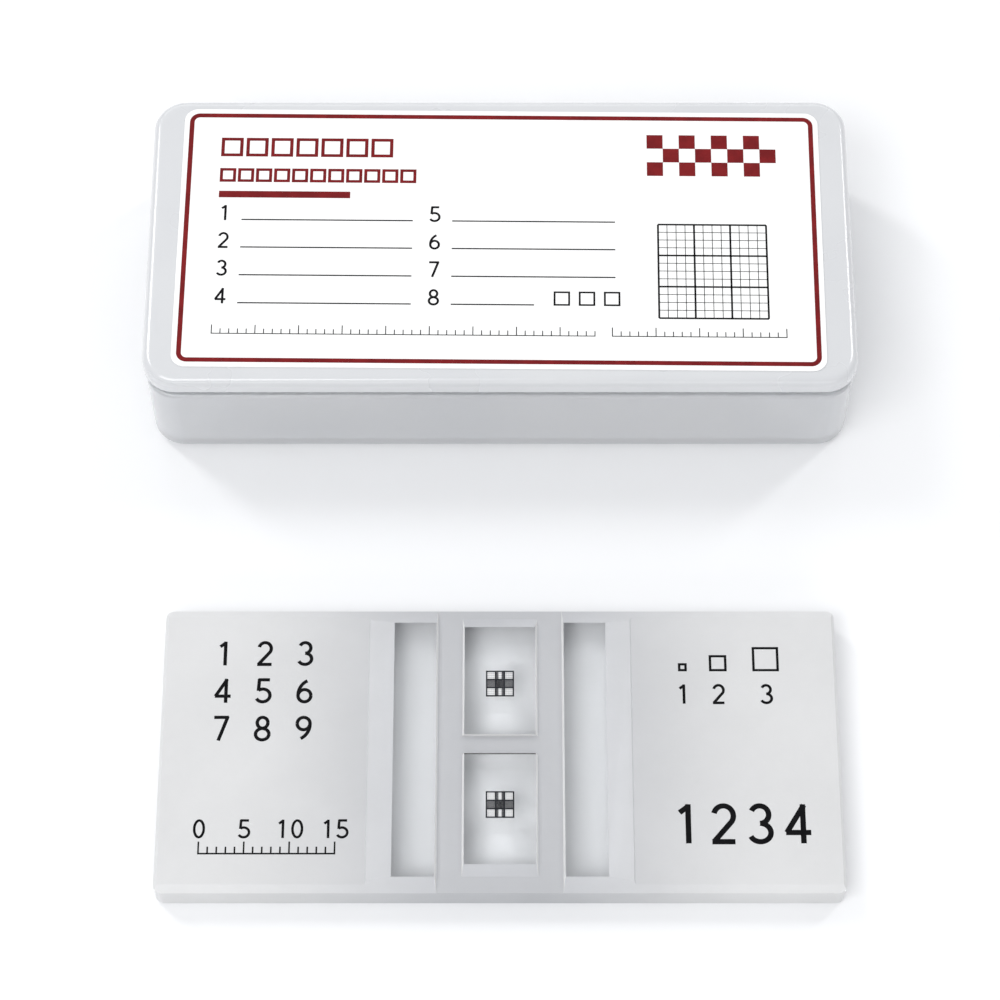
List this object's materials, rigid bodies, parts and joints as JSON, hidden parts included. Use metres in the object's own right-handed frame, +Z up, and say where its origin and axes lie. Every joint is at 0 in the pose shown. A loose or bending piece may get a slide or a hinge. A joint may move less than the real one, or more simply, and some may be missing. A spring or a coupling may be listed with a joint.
{
  "type": "hemocytometer",
  "caption": "Glass counting chamber with two ruled fields, lying in front of its hinged milky plastic case with cover glasses inside.",
  "frame": {"origin": "centre of the storage case's underside, on the bench", "axes": "+X along the case's long side to the right, +Y towards the lid's hinges at the back, +Z up; the counting chamber lies on the bench at -Y"},
  "size_m": [0.082, 0.0983, 0.0161],
  "materials": {
    "case_plastic": "milky natural polypropylene, glossy",
    "lid_plastic": "milky natural polypropylene, glossy",
    "cradle_plastic": "milky natural polypropylene, satin",
    "label_paper": "smooth white label paper with a dark red printed border",
    "pin_steel": "drawn stainless wire",
    "chamber_glass": "polished ridges and platforms, the rest finely ground",
    "cover_glass": "polished",
    "ruled_lines": "dark etched lines"
  },
  "bodies": {
    "root": {"case_base": "case_plastic", "cradle": "cradle_plastic", "hinge_pin_left": "pin_steel", "hinge_pin_right": "pin_steel"},
    "lid": {"case_lid": "lid_plastic", "lid_label": "label_paper"},
    "chamber": {"counting_chamber": "chamber_glass", "ruling_upper": "ruled_lines", "ruling_lower": "ruled_lines"},
    "left_cover_glass": {"cover_glass_left": "cover_glass"},
    "right_cover_glass": {"cover_glass_right": "cover_glass"}
  },
  "joints": [
    {"name": "lid_hinge", "type": "hinge", "parent": "root", "child": "lid", "pos_m": [0, 0.0208, 0.0081], "axis": [-1, 0, 0], "range_deg": [0, 180]},
    {"name": "chamber_lift", "type": "slide", "parent": "root", "child": "chamber", "axis": [0, 0, 1], "range_m": [0, 0.04]},
    {"name": "cover_glass_left_lift", "type": "slide", "parent": "root", "child": "left_cover_glass", "axis": [0, 0, 1], "range_m": [0, 0.0075]},
    {"name": "cover_glass_right_lift", "type": "slide", "parent": "root", "child": "right_cover_glass", "axis": [0, 0, 1], "range_m": [0, 0.0075]}
  ]
}
